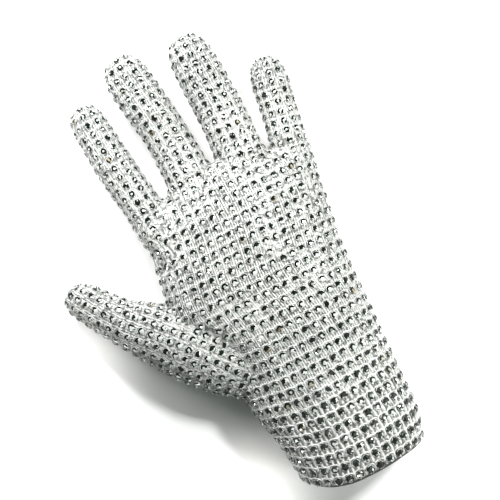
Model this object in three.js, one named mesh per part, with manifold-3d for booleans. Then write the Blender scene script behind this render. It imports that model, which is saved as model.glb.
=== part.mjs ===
// Sequin glove: a knitted dress glove for a right hand, lying back up on a flat surface.
// Millimetres, +Z up, +Y from the wrist to the fingertips, +X towards the little finger.
// The outer faces follow the tops of the small stones that cover the knit, and the hollow
// inside is the room for the hand.
import * as THREE from 'three';
import { mergeVertices } from 'three/addons/utils/BufferGeometryUtils.js';
import Module from 'manifold-3d';

const wasm = await Module();
wasm.setup();

// Driving dimensions

const WALL = 2.6; // knit and stones together
const STONE_RISE = 1.6; // how far a stone's table stands above the knit
const SEAM_GAP = 0.3; // clear gap between neighbouring pieces
const ORIGIN = { x: -19.4, y: -2.0 }; // middle of the glove's outline, in the tables' own places

const ROUNDNESS = 2.3; // exponent of the section: 2 is an ellipse, more is squarer
const CENTRE_SHARE = 0.42; // height of a section's widest line, as a share of its height
const BELOW_SHARE = 0.5; // depth under that line before the surface flattens it
const PALM_SIDES = 32;
const FINGER_SIDES = 16;
const TIP_STEPS = 3; // rings in a rounded fingertip

const PRISM_BELOW = -5; // cutting prisms reach past the glove at both ends
const PRISM_ABOVE = 70;
const MOUTH_RUN = 12; // how far the palm's tube runs past the wrist edge before it is cut

const EDGE_DEPTH = 1.8; // width of the bound edge at the wrist
const EDGE_INSET = 0.9; // the bound edge lies lower than the stones
const STONE_ROWS = 3; // rings of stones fused to the knit above the wrist edge
const ROW_PITCH = 6.3;
const STONES_ROUND = 32;
const FINE_STEPS = 720; // steps in which a ring's length is measured

// A stone in its rim: eight sides, drawn in to a flat table
const STONE_SIDES = 8;
const STONE_PROFILE = [
  { radius: 2.2, rise: 0 },
  { radius: 2.2, rise: 0.7 },
  { radius: 1.15, rise: STONE_RISE },
];

const MERGE_WITHIN = 1e-4; // points closer than this are one point

// Looks of the pieces
const KNIT_LOOK = { roughness: 0.55, metalness: 0.2 };
const HAND_LOOK = { color: 0xe2e5e4, ...KNIT_LOOK };
const EDGE_LOOK = { color: 0x6f6a5f, roughness: 0.7, metalness: 0 };
const STONE_LOOK = { color: 0xd4d8d6, roughness: 0.15, metalness: 0.7 };

// The hand: left and right edges and height at each distance along the glove
const PALM = [
  { y: -128, left: -28.0, right: 34.5, top: 43 },
  { y: -119, left: -29.6, right: 38.0, top: 44.5 },
  { y: -105, left: -31.0, right: 40.6, top: 45 },
  { y: -90, left: -33.2, right: 41.0, top: 44 },
  { y: -74, left: -36.8, right: 41.6, top: 43 },
  { y: -56, left: -39.0, right: 42.5, top: 42 },
  { y: -36, left: -43.0, right: 43.3, top: 41 },
  { y: -16, left: -51.5, right: 44.6, top: 39 },
  { y: 4, left: -49.8, right: 47.9, top: 36 },
  { y: 20, left: -47.6, right: 49.9, top: 32.5 },
  { y: 31, left: -46.5, right: 49.0, top: 29 },
  { y: 39, left: -39.0, right: 41.0, top: 26 },
  { y: 45, left: -25.0, right: 26.0, top: 22 },
];
const PALM_END = { x: 1.5, y: 48.8 };

// The fingers and thumb: middle line, half width and height, from inside the hand outwards
const FINGERS = {
  index_finger: {
    colour: 0xeef0f0,
    stations: [
      { x: -33.0, y: -2, half: 6.0, top: 22 },
      { x: -38.4, y: 28, half: 10.2, top: 26 },
      { x: -39.9, y: 48, half: 10.5, top: 22.5 },
      { x: -42.6, y: 66, half: 10.8, top: 21 },
      { x: -44.1, y: 82, half: 10.4, top: 20 },
      { x: -45.2, y: 95, half: 10.1, top: 19 },
    ],
    tip: { x: -45.4, y: 107.0 },
  },
  middle_finger: {
    colour: 0xf1f2f2,
    stations: [
      { x: -11.0, y: 6, half: 9.0, top: 26 },
      { x: -11.2, y: 36, half: 13.6, top: 27.5 },
      { x: -11.0, y: 52, half: 12.8, top: 24 },
      { x: -11.4, y: 68, half: 12.1, top: 22 },
      { x: -13.4, y: 86, half: 12.3, top: 21 },
      { x: -16.2, y: 106, half: 12.7, top: 20 },
    ],
    tip: { x: -17.4, y: 121.2 },
  },
  ring_finger: {
    colour: 0xf1f2f2,
    stations: [
      { x: 15.0, y: 6, half: 9.0, top: 26 },
      { x: 17.2, y: 36, half: 13.6, top: 27 },
      { x: 18.2, y: 52, half: 13.3, top: 24 },
      { x: 18.9, y: 70, half: 13.0, top: 22 },
      { x: 18.6, y: 88, half: 13.0, top: 21 },
      { x: 18.2, y: 101, half: 12.4, top: 20 },
    ],
    tip: { x: 17.6, y: 115.8 },
  },
  little_finger: {
    colour: 0xeef0f0,
    stations: [
      { x: 33.0, y: -8, half: 6.0, top: 22 },
      { x: 41.2, y: 24, half: 9.8, top: 26 },
      { x: 43.8, y: 42, half: 10.2, top: 22 },
      { x: 46.6, y: 58, half: 10.2, top: 20 },
      { x: 49.4, y: 74, half: 10.5, top: 18.5 },
    ],
    tip: { x: 50.6, y: 87.0 },
  },
  thumb: {
    colour: 0xe6e9e8,
    stations: [
      { x: -19.0, y: -70, half: 10.0, top: 27 },
      { x: -34.5, y: -50, half: 16.2, top: 34 },
      { x: -48.8, y: -32, half: 18.6, top: 33 },
      { x: -63.4, y: -15.8, half: 16.2, top: 27.5 },
      { x: -74.6, y: -4.4, half: 12.8, top: 23 },
      { x: -85.8, y: 10.2, half: 10.9, top: 20 },
    ],
    tip: { x: -94.8, y: 24.0 },
  },
};

// Long soft folds pressed into the back of the hand and the cuff. The angle runs round the
// section from the little finger's side, 0, over the back, 90, to the thumb's side, 180.
const FOLDS = [
  { y: -88, reach: 26, angle: 118, spread: 13, depth: 2.2 },
  { y: -52, reach: 20, angle: 136, spread: 12, depth: 2.6 },
  { y: -98, reach: 22, angle: 52, spread: 12, depth: 1.2 },
];

// Seen from above: the notches between the fingers, where the pieces part
const NOTCH = {
  outsideIndex: new THREE.Vector2(-75, 35),
  indexMiddle: new THREE.Vector2(-27.2, 42.3),
  middleRing: new THREE.Vector2(2.9, 49.0),
  ringLittle: new THREE.Vector2(32.6, 40.4),
  outsideLittle: new THREE.Vector2(75, 35),
  thumb: new THREE.Vector2(-54.0, -4.5),
  underThumb: new THREE.Vector2(-90, -36.2),
  overThumb: new THREE.Vector2(-58, 32),
};
const BETWEEN = {
  indexMiddle: [new THREE.Vector2(-27.4, 60), new THREE.Vector2(-34, 140)],
  middleRing: [new THREE.Vector2(3.6, 62), new THREE.Vector2(0.6, 140)],
  ringLittle: [new THREE.Vector2(34.2, 60), new THREE.Vector2(40, 140)],
};
const FIELD = { left: -120, right: 85, far: 140 };

// The wrist edge seen from above, from the little finger's side to the thumb's side
const HEM = [
  new THREE.Vector2(60, -124.4),
  new THREE.Vector2(25, -124.6),
  new THREE.Vector2(4, -125.2),
  new THREE.Vector2(-9, -124.6),
  new THREE.Vector2(-19, -122),
  new THREE.Vector2(-30, -116),
  new THREE.Vector2(-50, -109),
];

// Shapes of sections and tubes

const raised = (value) => Math.sign(value) * Math.abs(value) ** (2 / ROUNDNESS);

// One point of a section: how far across from its middle, and how high
function sectionPoint(angle, half, top, inset, shrink = 1) {
  const middle = CENTRE_SHARE * top;
  const rise = Math.sin(angle) > 0 ? top - middle : BELOW_SHARE * top;
  const across = (half - inset) * shrink * raised(Math.cos(angle));
  const height = middle + (rise - inset) * shrink * raised(Math.sin(angle));
  return { across, height: Math.max(height, inset) };
}

// How deep the folds press in at one place on the hand
function foldDepth(y, angle) {
  const turn = THREE.MathUtils.radToDeg(angle);
  return FOLDS.reduce((sum, fold) => {
    const along = (y - fold.y) / fold.reach;
    const round = (turn - fold.angle) / fold.spread;
    return sum + fold.depth * Math.exp(-along * along - round * round);
  }, 0);
}

function palmPoint(row, angle, inset) {
  const half = (row.right - row.left) / 2;
  const middle = (row.right + row.left) / 2;
  const point = sectionPoint(angle, half, row.top, inset + foldDepth(row.y, angle));
  const height = Math.max(point.height, inset);
  return new THREE.Vector3(middle + point.across, row.y, height);
}

function palmRowAt(y) {
  const next = Math.max(1, PALM.findIndex((row) => row.y >= y));
  const from = PALM[next - 1];
  const to = PALM[next];
  const share = (y - from.y) / (to.y - from.y);
  const between = (key) => THREE.MathUtils.lerp(from[key], to[key], share);
  return { y, left: between('left'), right: between('right'), top: between('top') };
}

const anglesOf = (sides) => Array.from({ length: sides }, (_, i) => (i / sides) * 2 * Math.PI);

// A closed tube through rings of points, flat at its first ring and drawn to a point at its end
function loft(rings, start, end) {
  const sides = rings[0].length;
  const points = [...rings.flat(), start, end];
  const startIndex = points.length - 2;
  const endIndex = points.length - 1;
  const lastRing = (rings.length - 1) * sides;
  const index = [];
  for (let side = 0; side < sides; side += 1) {
    const next = (side + 1) % sides;
    index.push(startIndex, side, next);
    index.push(endIndex, lastRing + next, lastRing + side);
    for (let ring = 0; ring < rings.length - 1; ring += 1) {
      const near = ring * sides;
      const far = near + sides;
      index.push(near + side, far + side, near + next);
      index.push(near + next, far + side, far + next);
    }
  }
  const geometry = new THREE.BufferGeometry().setFromPoints(points);
  geometry.setIndex(index);
  return geometry;
}

function palmTube(inset) {
  const angles = anglesOf(PALM_SIDES);
  const mouth = { ...PALM[0], y: PALM[0].y - MOUTH_RUN };
  const rows = [mouth, ...PALM];
  const rings = rows.map((row) => angles.map((angle) => palmPoint(row, angle, inset)));
  const first = rows[0];
  const start = new THREE.Vector3((first.left + first.right) / 2, first.y, first.top / 2);
  const last = rows[rows.length - 1];
  const end = new THREE.Vector3(PALM_END.x, PALM_END.y - inset, CENTRE_SHARE * last.top);
  return loft(rings, start, end);
}

// Rings that close a tube with a rounded end beyond its last station
function tipRings(last, tip, inset) {
  const length = Math.hypot(tip.x - last.x, tip.y - last.y);
  return Array.from({ length: TIP_STEPS }, (_, step) => {
    const turn = ((step + 1) / (TIP_STEPS + 1)) * (Math.PI / 2);
    const share = (Math.sin(turn) * (length - inset)) / length;
    return {
      x: THREE.MathUtils.lerp(last.x, tip.x, share),
      y: THREE.MathUtils.lerp(last.y, tip.y, share),
      half: last.half,
      top: last.top,
      shrink: Math.cos(turn),
    };
  });
}

function fingerTube(finger, inset) {
  const { stations, tip } = finger;
  const last = stations[stations.length - 1];
  const all = [...stations, ...tipRings(last, tip, inset)];
  const angles = anglesOf(FINGER_SIDES);
  const rings = all.map((station, i) => {
    const before = all[Math.max(i - 1, 0)];
    const after = all[i + 1] ?? tip;
    const along = new THREE.Vector2(after.x - before.x, after.y - before.y).normalize();
    return angles.map((angle) => {
      const { half, top, shrink } = station;
      const point = sectionPoint(angle, half, top, inset, shrink);
      const x = station.x + along.y * point.across;
      const y = station.y - along.x * point.across;
      return new THREE.Vector3(x, y, point.height);
    });
  });
  const start = new THREE.Vector3(stations[0].x, stations[0].y, stations[0].top / 2);
  const back = new THREE.Vector2(tip.x - last.x, tip.y - last.y).normalize();
  const middle = CENTRE_SHARE * last.top;
  const end = new THREE.Vector3(tip.x - back.x * inset, tip.y - back.y * inset, middle);
  return loft(rings, start, end);
}

// Joining and cutting

function solidOf(geometry) {
  const bare = geometry.clone();
  bare.deleteAttribute('normal');
  bare.deleteAttribute('uv');
  const merged = mergeVertices(bare, MERGE_WITHIN);
  const mesh = new wasm.Mesh({
    numProp: 3,
    vertProperties: new Float32Array(merged.attributes.position.array),
    triVerts: new Uint32Array(merged.index.array),
  });
  return new wasm.Manifold(mesh);
}

const joined = (solids) => solids.reduce((sum, solid) => sum.add(solid));

function geometryOf(solid) {
  const mesh = solid.getMesh();
  const geometry = new THREE.BufferGeometry();
  const positions = new THREE.BufferAttribute(new Float32Array(mesh.vertProperties), 3);
  geometry.setAttribute('position', positions);
  geometry.setIndex(new THREE.BufferAttribute(new Uint32Array(mesh.triVerts), 1));
  return geometry;
}

// An upright prism over an outline seen from above
function prism(points) {
  const depth = PRISM_ABOVE - PRISM_BELOW;
  const shape = new THREE.Shape(points);
  const geometry = new THREE.ExtrudeGeometry(shape, { depth, bevelEnabled: false });
  return solidOf(geometry.translate(0, 0, PRISM_BELOW));
}

// A thin upright slot from one point to another
function slot(from, to) {
  const length = from.distanceTo(to);
  const height = PRISM_ABOVE - PRISM_BELOW;
  const geometry = new THREE.BoxGeometry(length + SEAM_GAP, SEAM_GAP, height);
  geometry.rotateZ(Math.atan2(to.y - from.y, to.x - from.x));
  const middle = from.clone().add(to).multiplyScalar(0.5);
  return solidOf(geometry.translate(middle.x, middle.y, (PRISM_ABOVE + PRISM_BELOW) / 2));
}

// Where each piece lies, seen from above

const corner = (x, y) => new THREE.Vector2(x, y);
const { indexMiddle, middleRing, ringLittle } = BETWEEN;

const CELLS = {
  index_finger: [
    NOTCH.outsideIndex,
    NOTCH.indexMiddle,
    ...indexMiddle,
    corner(NOTCH.outsideIndex.x, FIELD.far),
  ],
  middle_finger: [
    NOTCH.indexMiddle,
    NOTCH.middleRing,
    ...middleRing,
    ...indexMiddle.toReversed(),
  ],
  ring_finger: [
    NOTCH.middleRing,
    NOTCH.ringLittle,
    ...ringLittle,
    ...middleRing.toReversed(),
  ],
  little_finger: [
    NOTCH.ringLittle,
    NOTCH.outsideLittle,
    corner(NOTCH.outsideLittle.x, FIELD.far),
    ...ringLittle.toReversed(),
  ],
  thumb: [
    NOTCH.thumb,
    NOTCH.overThumb,
    corner(FIELD.left, NOTCH.overThumb.y),
    corner(FIELD.left, NOTCH.underThumb.y),
    NOTCH.underThumb,
  ],
};

const SEAMS = [
  [NOTCH.outsideIndex, NOTCH.indexMiddle],
  [NOTCH.indexMiddle, NOTCH.middleRing],
  [NOTCH.middleRing, NOTCH.ringLittle],
  [NOTCH.ringLittle, NOTCH.outsideLittle],
  [NOTCH.indexMiddle, indexMiddle[0]],
  [NOTCH.middleRing, middleRing[0]],
  [NOTCH.ringLittle, ringLittle[0]],
  [NOTCH.thumb, NOTCH.underThumb],
  [NOTCH.thumb, NOTCH.overThumb],
];

// The glove's outer form and its hollow, each as one solid

function wholeForm(inset) {
  const tubes = Object.values(FINGERS).map((finger) => fingerTube(finger, inset));
  return joined([palmTube(inset), ...tubes].map(solidOf));
}

const outside = wholeForm(0);
const hollow = wholeForm(WALL);
const slots = joined(SEAMS.map(([from, to]) => slot(from, to)));
const shell = outside.subtract(hollow).subtract(slots);

const glove = new THREE.Group();

function addPiece(name, geometry, look) {
  const material = new THREE.MeshStandardMaterial({ ...look, flatShading: true });
  const mesh = new THREE.Mesh(geometry, material);
  mesh.name = name;
  mesh.position.set(-ORIGIN.x, -ORIGIN.y, 0);
  glove.add(mesh);
}

// Fingers and thumb

for (const [name, finger] of Object.entries(FINGERS)) {
  const piece = shell.intersect(prism(CELLS[name]));
  addPiece(name, geometryOf(piece), { color: finger.colour, ...KNIT_LOOK });
}

// The hand, from the finger notches down to the rings of stones

const fieldStart = EDGE_DEPTH + SEAM_GAP;
const fieldEnd = fieldStart + STONE_ROWS * ROW_PITCH;
const hemLine = (shift) => HEM.map((point) => corner(point.x, point.y + shift));

const handOutline = [
  ...hemLine(fieldEnd + SEAM_GAP).reverse(),
  corner(FIELD.right, NOTCH.outsideLittle.y),
  NOTCH.outsideLittle,
  NOTCH.ringLittle,
  NOTCH.middleRing,
  NOTCH.indexMiddle,
  NOTCH.outsideIndex,
  NOTCH.overThumb,
  NOTCH.thumb,
  NOTCH.underThumb,
];
const hand = shell.intersect(prism(handOutline));
addPiece('hand_shell', geometryOf(hand), HAND_LOOK);

// Rings of places round the cuff

function hemHeightAt(x) {
  const next = Math.max(1, HEM.findIndex((point) => point.x <= x));
  const share = (x - HEM[next - 1].x) / (HEM[next].x - HEM[next - 1].x);
  return THREE.MathUtils.lerp(HEM[next - 1].y, HEM[next].y, share);
}

// A place on the cuff, a given distance up from its edge
function cuffPoint(angle, shift, inset) {
  const guess = palmPoint(palmRowAt(HEM[2].y + shift), angle, inset);
  return palmPoint(palmRowAt(hemHeightAt(guess.x) + shift), angle, inset);
}

// Places an even distance apart round the cuff
function cuffRing(shift, inset) {
  const fine = anglesOf(FINE_STEPS).map((angle) => cuffPoint(angle, shift, inset));
  const lengths = fine.map((point, i) => point.distanceTo(fine[(i + 1) % FINE_STEPS]));
  const step = lengths.reduce((sum, length) => sum + length, 0) / STONES_ROUND;
  const ring = [];
  let walked = 0;
  lengths.forEach((length, i) => {
    const wanted = ring.length * step;
    if (ring.length < STONES_ROUND && walked + length > wanted) {
      const share = (wanted - walked) / length;
      ring.push(fine[i].clone().lerp(fine[(i + 1) % FINE_STEPS], share));
    }
    walked += length;
  });
  return ring;
}

// Two triangles for each step of the strip between two rings
function stitch(index, near, far) {
  for (let side = 0; side < STONES_ROUND; side += 1) {
    const next = (side + 1) % STONES_ROUND;
    index.push(near + side, far + side, near + next);
    index.push(near + next, far + side, far + next);
  }
}

function indexed(points, index) {
  const geometry = new THREE.BufferGeometry().setFromPoints(points);
  geometry.setIndex(index);
  return geometry;
}

// The bound edge round the wrist opening

function edgeBand() {
  const edges = [
    { shift: 0, inset: EDGE_INSET },
    { shift: EDGE_DEPTH, inset: EDGE_INSET },
    { shift: EDGE_DEPTH, inset: WALL },
    { shift: 0, inset: WALL },
  ];
  const points = edges.flatMap(({ shift, inset }) => cuffRing(shift, inset));
  const index = [];
  edges.forEach((_, edge) => {
    const next = (edge + 1) % edges.length;
    stitch(index, edge * STONES_ROUND, next * STONES_ROUND);
  });
  return indexed(points, index);
}

addPiece('cuff_edge', edgeBand(), EDGE_LOOK);

// The lowest rings of cut stones, fused to the knit that carries them

// One stone in its rim on a square of knit, whose corners run round and then along the cuff
function addStone(points, index, corners) {
  const places = corners.map((place) => points[place]);
  const middle = new THREE.Vector3();
  places.forEach((place) => middle.addScaledVector(place, 1 / places.length));
  const across = places[1].clone().sub(places[0]).normalize();
  const up = places[3].clone().sub(places[0]).cross(across).normalize();
  const along = across.clone().cross(up);
  const rings = STONE_PROFILE.map(({ radius, rise }) => {
    const first = points.length;
    for (let side = 0; side < STONE_SIDES; side += 1) {
      const turn = Math.PI + (side / STONE_SIDES) * 2 * Math.PI;
      const place = middle.clone().addScaledVector(across, radius * Math.cos(turn));
      place.addScaledVector(along, radius * Math.sin(turn)).addScaledVector(up, rise);
      points.push(place);
    }
    return first;
  });
  const [rim] = rings;
  corners.forEach((place, i) => {
    const before = rim + 2 * i;
    const facing = rim + 2 * i + 1;
    const after = rim + ((2 * i + 2) % STONE_SIDES);
    index.push(place, before, facing);
    index.push(place, facing, after);
    index.push(place, after, corners[(i + 1) % corners.length]);
  });
  for (let side = 0; side < STONE_SIDES; side += 1) {
    const next = (side + 1) % STONE_SIDES;
    for (let ring = 0; ring < rings.length - 1; ring += 1) {
      index.push(rings[ring] + side, rings[ring + 1] + side, rings[ring] + next);
      index.push(rings[ring] + next, rings[ring + 1] + side, rings[ring + 1] + next);
    }
  }
  const table = rings[rings.length - 1];
  for (let side = 1; side < STONE_SIDES - 1; side += 1) {
    index.push(table, table + side + 1, table + side);
  }
}

function stoneField() {
  const points = [];
  const index = [];
  for (let row = 0; row <= STONE_ROWS; row += 1) {
    points.push(...cuffRing(fieldStart + row * ROW_PITCH, STONE_RISE));
  }
  const outerFar = STONE_ROWS * STONES_ROUND;
  const innerFar = outerFar + STONES_ROUND;
  const innerNear = innerFar + STONES_ROUND;
  points.push(...cuffRing(fieldEnd, WALL), ...cuffRing(fieldStart, WALL));
  stitch(index, outerFar, innerFar);
  stitch(index, innerFar, innerNear);
  stitch(index, innerNear, 0);
  for (let row = 0; row < STONE_ROWS; row += 1) {
    for (let side = 0; side < STONES_ROUND; side += 1) {
      const near = row * STONES_ROUND;
      const far = near + STONES_ROUND;
      const next = (side + 1) % STONES_ROUND;
      addStone(points, index, [near + side, near + next, far + next, far + side]);
    }
  }
  return indexed(points, index);
}

addPiece('cuff_stone_field', stoneField(), STONE_LOOK);

export default glove;
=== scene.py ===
"""Visual model of a knitted glove covered with rows of small cut stones.

The glove lies back up on a plain pale floor. Sizes are in millimetres in the glove's own
tables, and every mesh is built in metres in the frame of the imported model.
"""

import logging
import math
from dataclasses import astuple, dataclass, field
from enum import Enum
from itertools import product

import bmesh
import bpy
import numpy as np
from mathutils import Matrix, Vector
from mathutils.bvhtree import BVHTree


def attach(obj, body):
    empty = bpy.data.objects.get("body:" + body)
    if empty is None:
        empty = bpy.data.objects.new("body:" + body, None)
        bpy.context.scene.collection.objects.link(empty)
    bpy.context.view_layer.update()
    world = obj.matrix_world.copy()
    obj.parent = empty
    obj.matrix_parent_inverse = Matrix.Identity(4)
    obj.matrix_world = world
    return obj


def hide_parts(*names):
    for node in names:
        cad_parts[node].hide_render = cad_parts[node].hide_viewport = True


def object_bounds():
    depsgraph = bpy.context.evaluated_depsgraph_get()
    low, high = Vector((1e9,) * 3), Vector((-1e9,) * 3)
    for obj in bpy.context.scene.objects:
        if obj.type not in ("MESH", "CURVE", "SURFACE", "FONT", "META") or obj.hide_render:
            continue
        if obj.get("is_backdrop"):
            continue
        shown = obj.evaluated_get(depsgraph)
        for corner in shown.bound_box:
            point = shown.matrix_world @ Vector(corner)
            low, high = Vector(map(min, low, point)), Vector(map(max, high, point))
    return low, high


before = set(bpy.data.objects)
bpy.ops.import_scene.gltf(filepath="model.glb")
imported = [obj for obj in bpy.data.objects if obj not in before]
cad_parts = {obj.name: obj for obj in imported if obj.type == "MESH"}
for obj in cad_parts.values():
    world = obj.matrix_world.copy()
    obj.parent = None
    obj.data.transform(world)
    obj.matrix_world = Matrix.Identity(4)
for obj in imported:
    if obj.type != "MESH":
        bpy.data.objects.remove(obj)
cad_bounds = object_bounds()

log = logging.getLogger("sequin_glove")

MM = 0.001
ORIGIN = np.array([-19.4, -2.0, 0.0])  # the tables' place under the middle of the glove
SEED = 7

# Walls and sections, as in the glove's solids
KNIT_WALL = 1.0
STONE_RISE = 1.6
ROUNDNESS = 2.3
CENTRE_SHARE = 0.42
BELOW_SHARE = 0.5
MOUTH_RUN = 8.0  # how far the hand's tube runs past the wrist edge before it is cut

# How the soft form is made
VOXEL = 1.35
SOFTENING = 14
SMOOTHING_LOSS = 0.35

# How finely sections and middle lines are measured
SPINE_STEPS = 260
SPINE_CHUNK = 4000
HALF_SECTION = 180
LATTICE_STEPS = 60
TIP_STEPS = 90
WAY_STEP = 1.0  # how far each way a middle line's direction is measured
LEAST_HALF = 0.5  # least half width of a section that an angle is worked out from

# Rings of the tubes' own meshes
PALM_RINGS = 56
PALM_CLOSE = np.array([0.5, 0.85, 0.99])  # shares of the way from the last row to the end
FINGER_RINGS = 36
TIP_TURNS = np.radians([15, 30, 45, 60, 72, 82, 88])  # round the domed tip

# The lattice of stones
FINGER_PITCH = 5.25
PALM_ROWS = [
    # rows of stones from the wrist edge: how many, and how far apart
    (9, 6.3),
    (9, 6.1),
    (12, 5.6),
]
FIRST_ROW = 2.7
CUFF_PITCH = 5.5
PALM_PITCH = 5.3
NEAREST = 4.0  # stones closer than this would overlap
ROOMY = 4.5  # between the rows of two parts a stone goes in where it has this much room
REACH = 3.2  # how far a place may lie from the softened knit
STONE_SIZES = (1.2, 1.08, 1.0)  # at the wrist, at the palm and on the fingers
SHORTEST = 4  # rings in the shortest yarn
FINER = [-85.0, -25.0]  # where the hand's yarns grow finer
RIBS = 2  # the knit's own ribs to a stone
STITCHES = 5  # its stitches to a row
WIDE_ROWS = [6.0, 15.0]  # rows between which the knit's ribs grow from wide to fine
FLECK_SCALE = 560.0  # of the yarns' dark flecks, in turns a metre
HAND_FIRST = 0.8  # the hand keeps its rows where a finger stands out less than this
SEAM_SHARE = 0.3  # share of a pitch that a row leaves free where it ends underneath
TIP_FREE = 1.5  # rows of stones end this far before the middle of a tip
CUFF_TO_PALM = (-110, -40)  # where the stones' pitch and painted reflections change
PALM_TO_FINGERS = (20, 80)
PALM_FROM = -30  # past here the stones change towards the fingers', before it from the cuff's
TINY = 1e-6  # least length that a direction is worked out from

PALM = [
    # distance along the glove, left edge, right edge, height
    (-128, -28.0, 34.5, 43.0),
    (-119, -29.6, 38.0, 44.5),
    (-105, -31.0, 40.6, 45.0),
    (-90, -33.2, 41.0, 44.0),
    (-74, -36.8, 41.6, 43.0),
    (-56, -39.0, 42.5, 42.0),
    (-36, -43.0, 43.3, 41.0),
    (-16, -51.5, 44.6, 39.0),
    (4, -49.8, 47.9, 36.0),
    (20, -47.6, 49.9, 32.5),
    (31, -46.5, 49.0, 29.0),
    (39, -39.0, 41.0, 26.0),
    (45, -25.0, 26.0, 22.0),
]
PALM_END = (1.5, 48.8)

FINGERS = {
    # middle line, half width and height at each station, and the tip
    "index_finger": (
        [
            (-33.0, -2, 6.0, 22.0),
            (-38.4, 28, 10.2, 26.0),
            (-39.9, 48, 10.5, 22.5),
            (-42.6, 66, 10.8, 21.0),
            (-44.1, 82, 10.4, 20.0),
            (-45.2, 95, 10.1, 19.0),
        ],
        (-45.4, 107.0),
    ),
    "middle_finger": (
        [
            (-11.0, 6, 9.0, 26.0),
            (-11.2, 36, 13.6, 27.5),
            (-11.0, 52, 12.8, 24.0),
            (-11.4, 68, 12.1, 22.0),
            (-13.4, 86, 12.3, 21.0),
            (-16.2, 106, 12.7, 20.0),
        ],
        (-17.4, 121.2),
    ),
    "ring_finger": (
        [
            (15.0, 6, 9.0, 26.0),
            (17.2, 36, 13.6, 27.0),
            (18.2, 52, 13.3, 24.0),
            (18.9, 70, 13.0, 22.0),
            (18.6, 88, 13.0, 21.0),
            (18.2, 101, 12.4, 20.0),
        ],
        (17.6, 115.8),
    ),
    "little_finger": (
        [
            (33.0, -8, 6.0, 22.0),
            (41.2, 24, 9.8, 26.0),
            (43.8, 42, 10.2, 22.0),
            (46.6, 58, 10.2, 20.0),
            (49.4, 74, 10.5, 18.5),
        ],
        (50.6, 87.0),
    ),
    "thumb": (
        [
            (-19.0, -70, 10.0, 27.0),
            (-34.5, -50, 16.2, 34.0),
            (-48.8, -32, 18.6, 33.0),
            (-63.4, -15.8, 16.2, 27.5),
            (-74.6, -4.4, 12.8, 23.0),
            (-85.8, 10.2, 10.9, 20.0),
        ],
        (-94.8, 24.0),
    ),
}

FOLDS = [
    # distance along, reach, angle round, spread, depth
    (-88, 26, 118, 13, 2.2),
    (-52, 20, 136, 12, 2.6),
    (-98, 22, 52, 12, 1.2),
]

HEM = [
    # the wrist edge from the thumb's side to the little finger's side
    (-50, -109.0),
    (-30, -116.0),
    (-19, -122.0),
    (-9, -124.6),
    (4, -125.2),
    (25, -124.6),
    (60, -124.4),
]
HEM_MIDDLE = -125.2
HEM_FADE = 70.0  # rows of stones follow the wrist edge less and less over this run

# Where the pieces part, seen from above
OUTSIDE_INDEX = (-75, 35)
INDEX_MIDDLE = (-27.2, 42.3)
MIDDLE_RING = (2.9, 49.0)
RING_LITTLE = (32.6, 40.4)
OUTSIDE_LITTLE = (75, 35)
THUMB_NOTCH = (-54.0, -4.5)
UNDER_THUMB = (-90, -36.2)
OVER_THUMB = (-58, 32)
BETWEEN_INDEX = [(-27.4, 60), (-34, 140)]
BETWEEN_MIDDLE = [(3.6, 62), (0.6, 140)]
BETWEEN_RING = [(34.2, 60), (40, 140)]
CELLS = {
    "index_finger": [OUTSIDE_INDEX, INDEX_MIDDLE, *BETWEEN_INDEX, (-75, 140)],
    "middle_finger": [INDEX_MIDDLE, MIDDLE_RING, *BETWEEN_MIDDLE, *BETWEEN_INDEX[::-1]],
    "ring_finger": [MIDDLE_RING, RING_LITTLE, *BETWEEN_RING, *BETWEEN_MIDDLE[::-1]],
    "little_finger": [RING_LITTLE, OUTSIDE_LITTLE, (75, 140), *BETWEEN_RING[::-1]],
    "thumb": [THUMB_NOTCH, OVER_THUMB, (-120, 35), (-120, -36.2), UNDER_THUMB],
}
HAND = "hand_shell"


class Slot(Enum):
    """The record's material slots."""

    KNIT = "stoned_knit"
    EDGE = "edge_yarn"
    STONES = "cut_stones"


def smooth_value(places: np.ndarray, values: np.ndarray, at: np.ndarray) -> np.ndarray:
    """Reads a table on a smooth curve through its rows.

    Args:
        places: Where the rows stand, rising.
        values: The rows' values.
        at: Where to read.

    Returns:
        The values there.
    """
    at = np.clip(at, places[0], places[-1])
    slopes = np.gradient(values, places)
    after = np.clip(np.searchsorted(places, at, side="right"), 1, len(places) - 1)
    before = after - 1
    width = places[after] - places[before]
    t = (at - places[before]) / width
    ease = t * t * (3 - 2 * t)
    start = t * (1 - t) ** 2 * width * slopes[before]
    end = t * t * (t - 1) * width * slopes[after]
    return values[before] * (1 - ease) + values[after] * ease + start + end


def raised(value: np.ndarray) -> np.ndarray:
    """Bends a sine or cosine to the section's roundness."""
    return np.sign(value) * np.abs(value) ** (2 / ROUNDNESS)


def lowered(value: np.ndarray) -> np.ndarray:
    """Undoes raised()."""
    return np.sign(value) * np.abs(value) ** (ROUNDNESS / 2)


def hem_at(x: np.ndarray) -> np.ndarray:
    """How far the wrist edge bends up from its middle, at a place across it."""
    hem = np.array(HEM, float)
    return smooth_value(hem[:, 0], hem[:, 1], np.asarray(x, float)) - HEM_MIDDLE


def in_cell(cell: list[tuple[float, float]], x: np.ndarray, y: np.ndarray) -> np.ndarray:
    """Says which points lie inside an outline seen from above.

    Args:
        cell: The outline's corners.
        x: The points' places across.
        y: The points' places along.

    Returns:
        True for each point inside.
    """
    inside = np.zeros(np.shape(x), bool)
    for (x0, y0), (x1, y1) in zip(cell, cell[1:] + cell[:1]):
        if y0 == y1:
            continue
        crosses = (y0 > y) != (y1 > y)
        inside ^= crosses & (x < (x1 - x0) * (y - y0) / (y1 - y0) + x0)
    return inside


def piece_names(x: np.ndarray, y: np.ndarray) -> np.ndarray:
    """Names the CAD node that each point seen from above belongs to."""
    names = np.full(np.shape(x), HAND, dtype=object)
    for name, cell in CELLS.items():
        names[in_cell(cell, x, y)] = name
    return names


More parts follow.
